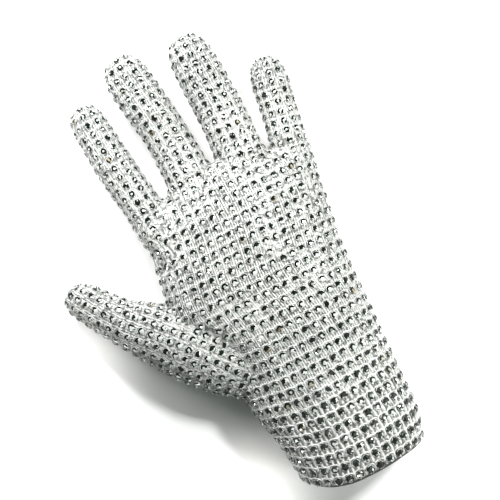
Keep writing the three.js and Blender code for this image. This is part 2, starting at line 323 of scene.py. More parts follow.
@dataclass
class Tube:
    """A tube of the glove with rounded sections that are flat where they rest.

    Attributes:
        name: The part of the glove.
        sides: Points round each ring of its mesh.
        pitch: Distance between neighbouring stones round it.
    """

    name: str
    sides: int = 40
    pitch: float = FINGER_PITCH

    def spine(self, run: np.ndarray) -> tuple[np.ndarray, ...]:
        """Middle line, direction, half width, height and shrinking at a run along the tube."""
        raise NotImplementedError

    def ends(self) -> tuple[float, float]:
        """Runs of the tube's two ends."""
        raise NotImplementedError

    def fold_depth(self, run: np.ndarray, angle: np.ndarray) -> np.ndarray:
        """Depth of the folds at a place on the tube."""
        return np.zeros(np.broadcast(run, angle).shape)

    def point(self, run: np.ndarray, angle: np.ndarray, inset: float) -> np.ndarray:
        """Places on the tube.

        Args:
            run: Distance along it.
            angle: Turn round it, from the right side over the top.
            inset: Depth under its outer form.

        Returns:
            The points, with a last axis of three.
        """
        middle_x, middle_y, way_x, way_y, half, top, shrink = self.spine(run)
        sunk = inset + self.fold_depth(run, angle)
        belt = CENTRE_SHARE * top
        rise = np.where(np.sin(angle) > 0, top - belt, BELOW_SHARE * top)
        across = (half - sunk) * shrink * raised(np.cos(angle))
        height = belt + (rise - sunk) * shrink * raised(np.sin(angle))
        x = middle_x + way_y * across
        y = middle_y - way_x * across
        return np.stack(np.broadcast_arrays(x, y, np.maximum(height, inset)), axis=-1)

    def locate(self, points: np.ndarray) -> tuple[np.ndarray, np.ndarray]:
        """Finds the run and angle of points near the tube's surface.

        Args:
            points: The points, one a row.

        Returns:
            Runs and angles.
        """
        first, last = self.ends()
        runs = np.linspace(first, last, SPINE_STEPS)
        middle_x, middle_y, way_x, way_y, half, top, shrink = self.spine(runs)
        run_index = np.empty(len(points), int)
        for start in range(0, len(points), SPINE_CHUNK):
            part = points[start:start + SPINE_CHUNK]
            away_x = part[:, 0, None] - middle_x
            away_y = part[:, 1, None] - middle_y
            run_index[start:start + SPINE_CHUNK] = np.argmin(away_x**2 + away_y**2, axis=1)
        half, top, shrink = (value[run_index] for value in (half, top, shrink))
        away_x = points[:, 0] - middle_x[run_index]
        away_y = points[:, 1] - middle_y[run_index]
        across = away_x * way_y[run_index] - away_y * way_x[run_index]
        belt = CENTRE_SHARE * top
        up = points[:, 2] - belt
        rise = np.where(up > 0, top - belt, BELOW_SHARE * top)
        side = across / np.maximum((half - STONE_RISE) * shrink, LEAST_HALF)
        height = up / np.maximum((rise - STONE_RISE) * shrink, LEAST_HALF)
        return runs[run_index], np.arctan2(lowered(height), lowered(side))

    def arc_table(self, run: float) -> tuple[np.ndarray, np.ndarray]:
        """Angles round one section and their lengths from the top, right side positive.

        Args:
            run: Where the section is.

        Returns:
            Angles from under the left side to under the right side, and lengths.
        """
        angles = np.linspace(1.5 * math.pi, -0.5 * math.pi, 2 * HALF_SECTION + 1)
        ring = self.point(np.full(angles.shape, run), angles, STONE_RISE)
        steps = np.linalg.norm(np.diff(ring, axis=0), axis=1)
        lengths = np.concatenate([[0.0], np.cumsum(steps)])
        return angles, lengths - lengths[HALF_SECTION]

    def rows(self) -> np.ndarray:
        """Runs of the rows of stones."""
        raise NotImplementedError

    def columns(self, run: float) -> np.ndarray:
        """Angles of the stones in one row."""
        angles, lengths = self.arc_table(run)
        pitch = self.pitch_at(run)
        left = max(math.floor((-lengths[0] - SEAM_SHARE * pitch) / pitch), 0)
        right = max(math.floor((lengths[-1] - SEAM_SHARE * pitch) / pitch), 0)
        return np.interp(np.arange(-left, right + 1) * pitch, lengths, angles)

    def pitch_at(self, run: float) -> float:
        """Distance between neighbouring stones round the tube at one run."""
        return self.pitch

    def lattice(self, points: np.ndarray) -> np.ndarray:
        """Places in the stones' lattice: whole numbers are the middles of stones.

        Args:
            points: Points near the tube's surface, one a row.

        Returns:
            Column and row numbers, with a last axis of two.
        """
        run, angle = self.locate(points)
        angle = np.where(angle < -0.5 * math.pi, angle + 2 * math.pi, angle)
        first, last = self.ends()
        steps = np.linspace(first, last, LATTICE_STEPS)
        nearest = np.clip(np.searchsorted(steps, run), 0, len(steps) - 1)
        column = np.zeros(len(points))
        for index in np.unique(nearest):
            chosen = nearest == index
            angles, lengths = self.arc_table(steps[index])
            arc = np.interp(angle[chosen], angles[::-1], lengths[::-1])
            column[chosen] = arc / self.pitch_at(steps[index])
        rows = self.rows()
        step = rows[1] - rows[0]
        row = np.interp(run, rows, np.arange(len(rows)))
        row += np.minimum(run - rows[0], 0) / step + np.maximum(run - rows[-1], 0) / step
        return np.stack([column, row], axis=-1)

    def mesh_runs(self) -> np.ndarray:
        """Runs of the rings of the tube's own mesh."""
        raise NotImplementedError

    def make(self) -> bpy.types.Object:
        """Models the tube: a circle extruded ring by ring, each ring set to its section.

        Returns:
            The closed tube's object.
        """
        bpy.ops.object.select_all(action="DESELECT")
        bpy.ops.mesh.primitive_circle_add(vertices=self.sides, radius=10 * MM, fill_type="NGON")
        tube = bpy.context.object
        tube.name = f"form_{self.name}"
        bpy.ops.object.mode_set(mode="EDIT")
        angles = np.arange(self.sides) / self.sides * 2 * math.pi
        for index, run in enumerate(self.mesh_runs()):
            if index:
                bpy.ops.mesh.extrude_region_move()
            ring = self.point(np.full(self.sides, run), angles, STONE_RISE - SMOOTHING_LOSS)
            mesh = bmesh.from_edit_mesh(tube.data)
            for vertex, place in zip([v for v in mesh.verts if v.select], (ring - ORIGIN) * MM):
                vertex.co = place
            bmesh.update_edit_mesh(tube.data)
        face_outwards()
        return tube


@dataclass
class PalmTube(Tube):
    """The hand of the glove, from its wrist edge to the finger notches."""

    sides: int = 72
    pitch: float = PALM_PITCH
    table: np.ndarray = field(default_factory=lambda: np.array(PALM, float))

    def ends(self) -> tuple[float, float]:
        """Runs of the tube's two ends."""
        return float(self.table[0, 0]), PALM_END[1]

    def spine(self, run: np.ndarray) -> tuple[np.ndarray, ...]:
        """Middle line, direction, half width, height and shrinking at a run along the tube."""
        run = np.asarray(run, float)
        last = self.table[-1, 0]
        at = np.minimum(run, last)
        left, right, top = (smooth_value(self.table[:, 0], self.table[:, i], at) for i in (1, 2, 3))
        beyond = np.clip((run - last) / (PALM_END[1] - last), 0, 1)
        shrink = np.sqrt(1 - beyond**2)
        flat = np.zeros(run.shape)
        return (left + right) / 2, run, flat, flat + 1, (right - left) / 2, top, shrink

    def fold_depth(self, run: np.ndarray, angle: np.ndarray) -> np.ndarray:
        """Depth of the folds at a place on the tube."""
        turn = np.degrees(np.mod(angle, 2 * math.pi))
        depth = np.zeros(np.broadcast(run, angle).shape)
        for along, reach, middle, spread, deep in FOLDS:
            depth += deep * np.exp(-(((run - along) / reach) ** 2) - ((turn - middle) / spread) ** 2)
        return depth

    def mesh_runs(self) -> np.ndarray:
        """Runs of the rings of the tube's own mesh."""
        start = self.table[0, 0] - MOUTH_RUN
        body = np.linspace(start, self.table[-1, 0], PALM_RINGS)
        close = self.table[-1, 0] + (PALM_END[1] - self.table[-1, 0]) * PALM_CLOSE
        return np.concatenate([body, close])

    def rows(self) -> np.ndarray:
        """Runs of the rows of stones."""
        steps = [step for count, step in PALM_ROWS for _ in range(count)]
        return HEM_MIDDLE + FIRST_ROW + np.concatenate([[0.0], np.cumsum(steps)])

    def pitch_at(self, run: float) -> float:
        """Distance between neighbouring stones round the tube at one run."""
        return float(np.interp(run, CUFF_TO_PALM, [CUFF_PITCH, PALM_PITCH]))

    def bend(self, points: np.ndarray, way: float) -> np.ndarray:
        """Bends rows near the wrist to its edge, or straightens them.

        Args:
            points: The points, one a row.
            way: 1 to bend, -1 to straighten.

        Returns:
            The moved points.
        """
        moved = points.copy()
        fade = np.clip(1 - (points[:, 1] - HEM_MIDDLE) / HEM_FADE, 0, 1)
        moved[:, 1] += way * fade * hem_at(points[:, 0])
        return moved

    def lattice(self, points: np.ndarray) -> np.ndarray:
        """Places in the stones' lattice: whole numbers are the middles of stones."""
        return super().lattice(self.bend(points, -1))


@dataclass
class FingerTube(Tube):
    """A finger or the thumb, from inside the hand to its rounded tip."""

    def __post_init__(self) -> None:
        """Measures the stations along the middle line."""
        stations, tip = FINGERS[self.name]
        self.stations = np.array(stations, float)
        self.tip = np.array(tip, float)
        steps = np.linalg.norm(np.diff(self.stations[:, :2], axis=0), axis=1)
        self.runs = np.concatenate([[0.0], np.cumsum(steps)])
        self.tip_length = float(np.linalg.norm(self.tip - self.stations[-1, :2]))

    def ends(self) -> tuple[float, float]:
        """Runs of the tube's two ends."""
        return 0.0, float(self.runs[-1] + self.tip_length)

    def spine(self, run: np.ndarray) -> tuple[np.ndarray, ...]:
        """Middle line, direction, half width, height and shrinking at a run along the tube."""
        run = np.asarray(run, float)
        at = np.minimum(run, self.runs[-1])
        x, y, half, top = (smooth_value(self.runs, self.stations[:, i], at) for i in range(4))
        beyond = np.clip((run - self.runs[-1]) / self.tip_length, 0, 1)
        out = self.tip - self.stations[-1, :2]
        near = np.maximum(at - WAY_STEP, 0)
        far = np.minimum(at + WAY_STEP, self.runs[-1])
        way = [smooth_value(self.runs, self.stations[:, i], far)
               - smooth_value(self.runs, self.stations[:, i], near) for i in range(2)]
        way = [np.where(beyond > 0, out[i], way[i]) for i in range(2)]
        size = np.hypot(*way)
        shrink = np.sqrt(np.maximum(1 - beyond**2, 0))
        return (x + out[0] * beyond, y + out[1] * beyond, way[0] / size, way[1] / size,
                half, top, shrink)

    def mesh_runs(self) -> np.ndarray:
        """Runs of the rings of the tube's own mesh."""
        body = np.linspace(0, self.runs[-1], FINGER_RINGS)
        return np.concatenate([body, self.runs[-1] + self.tip_length * np.sin(TIP_TURNS)])

    def rows(self) -> np.ndarray:
        """Runs of the rows of stones, even along the surface over the tip."""
        last = self.runs[-1]
        half, top = self.stations[-1, 2], self.stations[-1, 3]
        body = np.arange(0.5 * self.pitch, last, self.pitch)
        turns = np.linspace(0, math.pi / 2, TIP_STEPS)
        belt = np.minimum(half, top / 2) - STONE_RISE
        length = self.tip_length - STONE_RISE
        along = last + length * np.sin(turns)
        steps = np.hypot(np.diff(along), np.diff(belt * np.cos(turns)))
        walked = last + np.concatenate([[0.0], np.cumsum(steps)])
        wanted = np.arange(body[-1] + self.pitch, walked[-1] - TIP_FREE, self.pitch)
        return np.concatenate([body, np.interp(wanted, walked, along)])


@dataclass
class SoftForm:
    """The knit's outer face: all the tubes grown together and softened.

    Attributes:
        tubes: The hand's tube first, then the fingers' and the thumb's.
    """

    tubes: list[Tube]

    def make(self) -> None:
        """Joins, remeshes, softens and opens the form, and keeps it for placing things on."""
        forms = [tube.make() for tube in self.tubes]
        bpy.ops.object.select_all(action="DESELECT")
        for form in forms:
            form.select_set(True)
        bpy.context.view_layer.objects.active = forms[0]
        bpy.ops.object.join()
        self.object = bpy.context.object
        apply_modifier(self.object, "REMESH", mode="VOXEL", voxel_size=VOXEL * MM)
        apply_modifier(self.object, "SMOOTH", factor=0.5, iterations=SOFTENING)
        self.open_wrist()
        self.tree = BVHTree.FromObject(self.object, bpy.context.evaluated_depsgraph_get())

    def open_wrist(self) -> None:
        """Takes away what lies past the wrist edge and draws the rest to it."""
        mesh = bmesh.new()
        mesh.from_mesh(self.object.data)
        gone = []
        for face in mesh.faces:
            x, y, _ = np.array(face.calc_center_median()) / MM + ORIGIN
            if y < HEM_MIDDLE + hem_at(x):
                gone.append(face)
        bmesh.ops.delete(mesh, geom=gone, context="FACES")
        for edge in mesh.edges:
            if edge.is_boundary:
                for vertex in edge.verts:
                    x = vertex.co.x / MM + ORIGIN[0]
                    vertex.co.y = (HEM_MIDDLE + float(hem_at(x)) - ORIGIN[1]) * MM
        mesh.to_mesh(self.object.data)
        mesh.free()

    def owners(self, points: np.ndarray) -> np.ndarray:
        """Numbers the tube whose own surface lies nearest to each point.

        Args:
            points: Points on the knit's face, one a row.

        Returns:
            Numbers of tubes.
        """
        away = np.empty((len(self.tubes), len(points)))
        for number, tube in enumerate(self.tubes):
            run, angle = tube.locate(points)
            away[number] = np.linalg.norm(tube.point(run, angle, STONE_RISE) - points, axis=1)
        away[0] -= HAND_FIRST
        return np.argmin(away, axis=0)

    def settle(self, points: np.ndarray) -> tuple[np.ndarray, np.ndarray, np.ndarray]:
        """Moves points to the knit's face.

        Args:
            points: Points in the tables' millimetres, one a row.

        Returns:
            Points on the face, its normals there and how far each point moved.
        """
        places, normals, moves = [], [], []
        for point in (points - ORIGIN) * MM:
            place, normal, _, distance = self.tree.find_nearest(Vector(point))
            places.append(np.array(place) / MM + ORIGIN)
            normals.append(np.array(normal))
            moves.append(distance / MM)
        return np.array(places), np.array(normals), np.array(moves)


def select_only(piece: bpy.types.Object) -> None:
    """Selects one piece and nothing else."""
    bpy.ops.object.select_all(action="DESELECT")
    piece.select_set(True)
    bpy.context.view_layer.objects.active = piece


def face_outwards() -> None:
    """Turns all faces of the mesh in edit mode outwards, and leaves edit mode."""
    bpy.ops.mesh.select_all(action="SELECT")
    bpy.ops.mesh.normals_make_consistent(inside=False)
    bpy.ops.object.mode_set(mode="OBJECT")


def shade_smooth(piece: bpy.types.Object) -> None:
    """Shades all faces of a piece smooth."""
    piece.data.polygons.foreach_set("use_smooth", [True] * len(piece.data.polygons))


def apply_modifier(piece: bpy.types.Object, kind: str, **settings: object) -> None:
    """Adds a modifier to a piece and applies it.

    Args:
        piece: The piece.
        kind: Blender's name of the modifier.
        **settings: The modifier's values.
    """
    select_only(piece)
    modifier = piece.modifiers.new(kind.lower(), kind)
    for key, value in settings.items():
        setattr(modifier, key, value)
    bpy.ops.object.modifier_apply(modifier=modifier.name)


def new_piece(name: str, points: np.ndarray, faces: list, materials: list) -> bpy.types.Object:
    """Makes a mesh piece from points in the tables' millimetres.

    Args:
        name: The piece's name.
        points: Its points.
        faces: Its faces, as numbers of points.
        materials: Its materials.

    Returns:
        The piece.
    """
    mesh = bpy.data.meshes.new(name)
    mesh.from_pydata(((points - ORIGIN) * MM).tolist(), [], faces)
    for material in materials:
        mesh.materials.append(material)
    piece = bpy.data.objects.new(name, mesh)
    bpy.context.scene.collection.objects.link(piece)
    return piece


def unit(vectors: np.ndarray) -> np.ndarray:
    """Gives vectors a length of one."""
    return vectors / np.maximum(np.linalg.norm(vectors, axis=-1, keepdims=True), TINY)


def sweep(path: np.ndarray, side: np.ndarray, up: np.ndarray, sides: int,
          closed: bool) -> tuple[np.ndarray, list[list[int]]]:
    """Sweeps a rounded section along a path.

    Args:
        path: The middles of its rings.
        side: Half its width at each ring, as a vector.
        up: Half its height at each ring, as a vector.
        sides: Points round it.
        closed: Whether its last ring joins its first. If not, both ends are capped.

    Returns:
        The points, and the faces as numbers of points.
    """
    turns = (np.arange(sides) / sides * 2 * math.pi)[:, None]
    ring = np.cos(turns) * side[:, None, :] + np.sin(turns) * up[:, None, :]
    count = len(path)
    faces = []
    for step in range(count if closed else count - 1):
        here, after = step * sides, (step + 1) % count * sides
        for turn in range(sides):
            other = (turn + 1) % sides
            faces.append([here + turn, here + other, after + other, after + turn])
    if not closed:
        faces.append(list(reversed(range(sides))))
        faces.append([(count - 1) * sides + turn for turn in range(sides)])
    return (path[:, None, :] + ring).reshape(-1, 3), faces


def declare(piece: bpy.types.Object, slot: Slot, *nodes: str) -> None:
    """Attaches a piece to the root and hides the CAD nodes that it stands for."""
    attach(piece, "root")
    if nodes:
        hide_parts(*nodes)
    log.info("%s: %d faces", piece.name, len(piece.data.polygons))


# Finishes


def set_socket(socket: bpy.types.NodeSocket, value: object) -> None:
    """Sets a socket's own value; a colour of three numbers gets its fourth."""
    socket.default_value = (*value, 1.0) if socket.type == "RGBA" else value


@dataclass(frozen=True)
class Finish:
    """A material with constant values on its shader.

    Attributes:
        name: The material's name.
        colour: Base colour.
        roughness: Roughness.
        metallic: Metallic.
    """

    name: str
    colour: tuple[float, float, float]
    roughness: float
    metallic: float = 0.0

    def start(self) -> tuple[bpy.types.Material, bpy.types.Node]:
        """Makes the material and its shader with the constant values.

        Returns:
            The material and the shader node.
        """
        material = bpy.data.materials.new(self.name)
        material.use_nodes = True
        shader = material.node_tree.nodes["Principled BSDF"]
        set_socket(shader.inputs["Base Color"], self.colour)
        shader.inputs["Roughness"].default_value = self.roughness
        shader.inputs["Metallic"].default_value = self.metallic
        return material, shader


@dataclass
class Graph:
    """Short ways to add nodes to a node tree.

    Attributes:
        tree: The node tree.
    """

    tree: bpy.types.NodeTree

    def node(self, kind: str, inputs: dict | None = None, **settings: object) -> bpy.types.Node:
        """Adds a node.

        Args:
            kind: Its type.
            inputs: Values or sockets for its inputs, by name or number.
            **settings: Its own settings.

        Returns:
            The node.
        """
        node = self.tree.nodes.new(kind)
        for key, value in settings.items():
            setattr(node, key, value)
        for key, value in (inputs or {}).items():
            if isinstance(value, bpy.types.NodeSocket):
                self.tree.links.new(value, node.inputs[key])
            else:
                set_socket(node.inputs[key], value)
        return node

    def maths(self, operation: str, *values: object) -> bpy.types.NodeSocket:
        """Adds a Math node and gives its result."""
        inputs = dict(enumerate(values))
        return self.node("ShaderNodeMath", inputs, operation=operation).outputs[0]

    def spread(self, value: bpy.types.NodeSocket, low: float, high: float,
               start: float = 0.0, end: float = 1.0) -> bpy.types.NodeSocket:
        """Spreads the values between low and high over those between start and end."""
        inputs = {"Value": value, "From Min": low, "From Max": high, "To Min": start, "To Max": end}
        return self.node("ShaderNodeMapRange", inputs).outputs["Result"]

    def noise(self, scale: object, detail: float = 2.0,
              roughness: float = 0.5) -> bpy.types.NodeSocket:
        """Adds noise on Object coordinates; a scale of 1000 gives spots of a millimetre."""
        place = self.node("ShaderNodeTexCoord").outputs["Object"]
        inputs = {"Vector": place, "Scale": scale, "Detail": detail, "Roughness": roughness}
        return self.node("ShaderNodeTexNoise", inputs).outputs["Fac"]

    def bump(self, height: bpy.types.NodeSocket, strength: float,
             distance: float) -> bpy.types.NodeSocket:
        """Adds a Bump node and gives its normal."""
        inputs = {"Height": height, "Strength": strength, "Distance": distance}
        return self.node("ShaderNodeBump", inputs).outputs["Normal"]

    def mix(self, factor: object, first: object, second: object) -> bpy.types.NodeSocket:
        """Mixes two colours."""
        inputs = {0: factor, 6: first, 7: second}
        return self.node("ShaderNodeMix", inputs, data_type="RGBA").outputs[2]

    def link(self, source: bpy.types.NodeSocket, target: bpy.types.NodeSocket) -> None:
        """Joins two sockets."""
        self.tree.links.new(source, target)


def new_group(name: str, inputs: tuple[str, ...], outputs: tuple[str, ...]) -> bpy.types.NodeTree:
    """Makes an empty node group with number sockets.

    Args:
        name: Its name.
        inputs: Names of its inputs.
        outputs: Names of its outputs.

    Returns:
        The node group.
    """
    group = bpy.data.node_groups.new(name, "ShaderNodeTree")
    for way, labels in (("INPUT", inputs), ("OUTPUT", outputs)):
        for label in labels:
            group.interface.new_socket(label, in_out=way, socket_type="NodeSocketFloat")
    return group


def fibre_group() -> bpy.types.NodeTree:
    """Fine yarn fibres: a soft speckle of shade and height on Object coordinates.

    Returns:
        The node group, with Scale in and Fleck, Shade and Height out.
    """
    group = new_group("fibre", ("Scale",), ("Fleck", "Shade", "Height"))
    graph = Graph(group)
    inside = graph.node("NodeGroupInput")
    outside = graph.node("NodeGroupOutput")
    fibre = graph.noise(inside.outputs["Scale"], 3.0, 0.6)
    graph.link(graph.spread(fibre, 0.3, 0.7), outside.inputs["Shade"])
    graph.link(fibre, outside.inputs["Height"])
    glints = graph.noise(FLECK_SCALE, 1.0)
    graph.link(graph.spread(glints, 0.52, 0.62), outside.inputs["Fleck"])
    return group


def rib_group() -> bpy.types.NodeTree:
    """The knit's ribs between the stones, on the lattice UV map, with a mask for the painted shade
    in their grooves.

    Returns:
        The node group, with Groove, the mask of the painted groove shade, and Height out.
    """
    group = new_group("knit_ribs", (), ("Groove", "Height"))
    graph = Graph(group)
    outside = graph.node("NodeGroupOutput")
    uv = graph.node("ShaderNodeUVMap", uv_map="lattice").outputs["UV"]
    parts = graph.node("ShaderNodeSeparateXYZ", {"Vector": uv})
    turn = graph.maths("MULTIPLY", parts.outputs["X"], 2 * RIBS * math.pi)
    wave = graph.maths("COSINE", turn, 0.0)
    fine_turn = graph.maths("MULTIPLY", parts.outputs["X"], 4 * RIBS * math.pi)
    fine_wave = graph.maths("COSINE", fine_turn, 0.0)
    wide_lines = graph.spread(wave, -1.0, -0.1, 1.0, 0.0)
    fine_lines = graph.spread(fine_wave, -1.0, 0.2, 1.0, 0.0)
    fineness = graph.spread(parts.outputs["Y"], *WIDE_ROWS)
    # Mask of the painted shade in the grooves between the ribs, wide near the wrist and fine further
    # up.
    painted_groove_shade = graph.node("ShaderNodeMix", {0: fineness, 2: wide_lines, 3: fine_lines}).outputs[0]
    stitch_turn = graph.maths("MULTIPLY", parts.outputs["Y"], 2 * STITCHES * math.pi)
    stitches = graph.maths("SINE", stitch_turn, 0.0)
    small = graph.maths("MULTIPLY", stitches, 0.18)
    height = graph.maths("ADD", graph.maths("MULTIPLY", wave, 0.5), small)
    graph.link(painted_groove_shade, outside.inputs["Groove"])
    graph.link(height, outside.inputs["Height"])
    return group


@dataclass(frozen=True)
class KnitFinish(Finish):
    """Light silver knit with fine ribs, painted shade in the grooves between them, soft fibres and
    dark flecks.

    Attributes:
        painted_groove_shade: Painted shade between its ribs; the flecks take this colour too.
        fibre_scale: Fineness of its fibres.
        fibre_share: How much they shade it.
        fibre_shade: Their brightness beside its own.
        fleck_share: How much its flecks show.
        sheen: Weight of its sheen.
    """

    painted_groove_shade: tuple[float, float, float] = (0.06, 0.066, 0.06)
    fibre_scale: float = 900.0
    fibre_share: float = 0.6
    fibre_shade: float = 0.45
    fleck_share: float = 0.75
    sheen: float = 0.2

    def make(self, fibres: bpy.types.NodeTree, ribs: bpy.types.NodeTree) -> bpy.types.Material:
        """Builds the material.

        Args:
            fibres: The fibre group.
            ribs: The rib group.

        Returns:
            The material.
        """
        material, shader = self.start()
        graph = Graph(material.node_tree)
        rib = graph.node("ShaderNodeGroup", node_tree=ribs)
        fibre = graph.node("ShaderNodeGroup", {0: self.fibre_scale}, node_tree=fibres)
        # Painted shade: the grooves between the ribs are darkened in the colour.
        lines = graph.mix(rib.outputs["Groove"], self.colour, self.painted_groove_shade)
        shade = graph.maths("MULTIPLY", fibre.outputs["Shade"], self.fibre_share)
        shaded = tuple(part * self.fibre_shade for part in self.colour)
        fibres_colour = graph.mix(shade, lines, shaded)
        fleck = graph.maths("MULTIPLY", fibre.outputs["Fleck"], self.fleck_share)
        colour = graph.mix(fleck, fibres_colour, self.painted_groove_shade)
        graph.link(colour, shader.inputs["Base Color"])
        height = graph.maths("ADD", rib.outputs["Height"], fibre.outputs["Height"])
        graph.link(graph.bump(height, 0.7, 0.4 * MM), shader.inputs["Normal"])
        shader.inputs["Sheen Weight"].default_value = self.sheen
        return material


@dataclass(frozen=True)
class YarnFinish(Finish):
    """A plain yarn with soft fibres and small dark flecks.

    Attributes:
        fleck: How much its flecks show.
        fibre_scale: Fineness of its fibres.
        fibre_share: How much they shade it.
        fibre_shade: Their brightness beside its own.
        fleck_shade: The flecks' brightness beside its own.
    """

    fleck: float = 0.0
    fibre_scale: float = 1500.0
    fibre_share: float = 0.45
    fibre_shade: float = 0.6
    fleck_shade: float = 0.2

    def make(self, fibres: bpy.types.NodeTree) -> bpy.types.Material:
        """Builds the material."""
        material, shader = self.start()
        graph = Graph(material.node_tree)
        fibre = graph.node("ShaderNodeGroup", {0: self.fibre_scale}, node_tree=fibres)
        shade = graph.maths("MULTIPLY", fibre.outputs["Shade"], self.fibre_share)
        soft = graph.mix(shade, self.colour, tuple(part * self.fibre_shade for part in self.colour))
        share = graph.maths("MULTIPLY", fibre.outputs["Fleck"], self.fleck)
        colour = graph.mix(share, soft, tuple(part * self.fleck_shade for part in self.colour))
        graph.link(colour, shader.inputs["Base Color"])
        graph.link(graph.bump(fibre.outputs["Height"], 0.5, 0.3 * MM), shader.inputs["Normal"])
        return material


@dataclass(frozen=True)
class StoneFinish(Finish):
    """Cut stones with painted reflections: each facet's light or dark value is painted in as a
    reflection, and a few stones are amber.

    Attributes:
        dark: Colour of the facets painted dark as reflections.
        amber: Colour of the amber stones' light facets.
        specular: Specular level.
    """

    dark: tuple[float, float, float] = (0.005, 0.010, 0.006)
    amber: tuple[float, float, float] = (0.42, 0.32, 0.18)
    specular: float = 0.3

    def make(self) -> bpy.types.Material:
        """Builds the material, which reads the facets' painted reflections and the stones' own
        tints.
        """
        material, shader = self.start()
        graph = Graph(material.node_tree)
        painted_reflection = graph.node("ShaderNodeAttribute", attribute_name="painted_reflection").outputs["Fac"]
        tint = graph.node("ShaderNodeAttribute", attribute_name="tint").outputs["Fac"]
        glass = graph.mix(tint, self.colour, self.amber)
        # Painted reflection: each facet is mixed towards dark by its painted value.
        graph.link(graph.mix(painted_reflection, glass, self.dark), shader.inputs["Base Color"])
        shader.inputs["Specular IOR Level"].default_value = self.specular
        return material


@dataclass(frozen=True)
class RimFinish(Finish):
    """Bright thin metal rims and cups, with dark patches of painted shade where the gaps between
    claws would be.

    Attributes:
        slot: Colour of the painted shade in the gaps.
        slot_scale: Closeness of the painted shaded gaps.
        wear_scale: Fineness of the wear.
        worn: Roughness where it is worn.
    """

    slot: tuple[float, float, float] = (0.030, 0.036, 0.030)
    slot_scale: float = 850.0
    wear_scale: float = 400.0
    worn: float = 0.5

    def make(self) -> bpy.types.Material:
        """Builds the material."""
        material, shader = self.start()
        graph = Graph(material.node_tree)
        wear = graph.spread(graph.noise(self.wear_scale), 0.0, 1.0, self.roughness, self.worn)
        graph.link(wear, shader.inputs["Roughness"])
        # Painted shade: dark noise patches stand in for the shaded gaps between claws.
        slots = graph.spread(graph.noise(self.slot_scale, 0.0), 0.50, 0.56)
        graph.link(graph.mix(slots, self.colour, self.slot), shader.inputs["Base Color"])
        return material


# Sub-assemblies


@dataclass
class KnitPieces:
    """The knit of the hand, the fingers and the thumb, cut from the soft form."""

    form: SoftForm
    material: bpy.types.Material

    def make(self) -> None:
        """Splits the form into the glove's pieces and gives each its wall and UV map."""
        source = self.form.object.data
        points = np.array([v.co for v in source.vertices]) / MM + ORIGIN
        faces = [list(f.vertices) for f in source.polygons]
        middles = np.array([points[face].mean(axis=0) for face in faces])
        names = piece_names(middles[:, 0], middles[:, 1])
        lattice = self.lattice_of(points)
        for name in [HAND, *CELLS]:
            chosen = [face for face, owner in zip(faces, names) if owner == name]
            used = np.unique([i for face in chosen for i in face])
            number = {old: new for new, old in enumerate(used)}
            local = [[number[i] for i in face] for face in chosen]
            piece = new_piece(f"{name}_knit", points[used], local, [self.material])
            self.unwrap(piece, lattice[used])
            apply_modifier(piece, "SOLIDIFY", thickness=KNIT_WALL * MM, offset=-1.0)
            shade_smooth(piece)
            nodes = [name, "cuff_stone_field"] if name == HAND else [name]
            declare(piece, Slot.KNIT, *nodes)
        bpy.data.objects.remove(self.form.object)

    def lattice_of(self, points: np.ndarray) -> np.ndarray:
        """Lattice places of all points, each on the tube that owns it.

        Args:
            points: The form's points.

        Returns:
            Column and row numbers.
        """
        owners = self.form.owners(points)
        lattice = np.zeros((len(points), 2))
        for number, tube in enumerate(self.form.tubes):
            lattice[owners == number] = tube.lattice(points[owners == number])
        return lattice

    def unwrap(self, piece: bpy.types.Object, lattice: np.ndarray) -> None:
        """Writes the lattice places as a UV map, whole across the seam underneath."""
        layer = piece.data.uv_layers.new(name="lattice")
        for face in piece.data.polygons:
            places = lattice[list(face.vertices)]
            if np.ptp(places[:, 0]) > 3:
                places = places[[np.argmax(places[:, 0])] * len(places)]
            for loop, place in zip(face.loop_indices, places):
                layer.data[loop].uv = place


